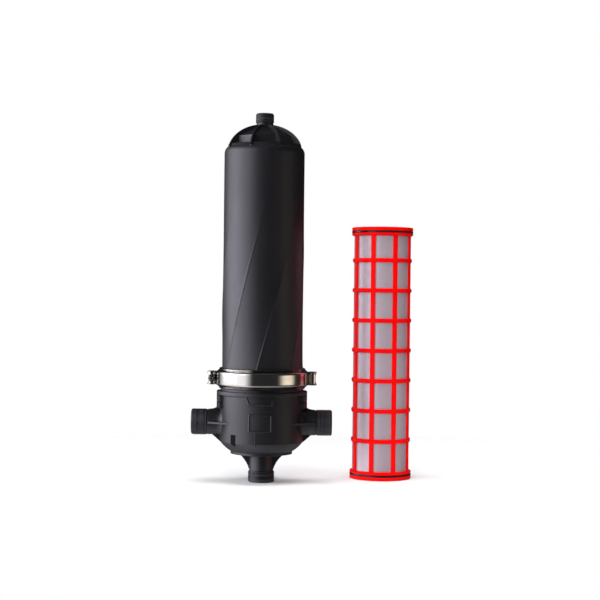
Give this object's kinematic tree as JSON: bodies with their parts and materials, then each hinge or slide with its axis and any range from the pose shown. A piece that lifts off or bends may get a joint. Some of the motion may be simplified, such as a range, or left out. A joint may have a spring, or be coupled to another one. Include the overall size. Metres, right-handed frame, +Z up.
{
  "type": "screen filter",
  "caption": "Tall in-line irrigation screen filter: ribbed black housing with side ports and a steel V clamp, its red screen element taken out and standing beside it.",
  "frame": {"origin": "on the housing's axis, in the plane of the drain port's end, which is also the floor", "axes": "+Z up along the housing's axis; +X out through the outlet port, towards the element; -Y is the front with the label frame"},
  "size_m": [0.5082, 0.2748, 0.839],
  "materials": {
    "housing_plastic": "satin",
    "seal_rubber": "gloss",
    "clamp_steel": "polished",
    "bolt_steel": "satin",
    "red_plastic": "gloss",
    "mesh_steel": "woven"
  },
  "bodies": {
    "filter": {"base": "housing_plastic", "cover": "housing_plastic", "housing_seal": "seal_rubber", "clamp_channel_front": "clamp_steel", "clamp_channel_rear": "clamp_steel", "clamp_strap_front": "clamp_steel", "clamp_strap_rear": "clamp_steel", "loop_front_left": "clamp_steel", "loop_front_right": "clamp_steel", "loop_rear_left": "clamp_steel", "loop_rear_right": "clamp_steel", "t_bolt_left": "bolt_steel", "t_bolt_right": "bolt_steel", "trunnion_left": "bolt_steel", "trunnion_right": "bolt_steel", "washer_left": "bolt_steel", "washer_right": "bolt_steel", "screen_frame": "red_plastic", "screen_mesh": "mesh_steel", "element_seal_lower": "seal_rubber", "element_seal_upper": "seal_rubber"},
    "nut_left": {"nut_left": "bolt_steel"},
    "nut_right": {"nut_right": "bolt_steel"}
  },
  "joints": [
    {"name": "nut_left_spin", "type": "hinge", "parent": "filter", "child": "nut_left", "pos_m": [-0.11439, -0.0248, 0.23667], "axis": [0, -1, 0], "continuous": true},
    {"name": "nut_right_spin", "type": "hinge", "parent": "filter", "child": "nut_right", "pos_m": [0.11439, 0.0248, 0.23667], "axis": [0, 1, 0], "continuous": true}
  ]
}
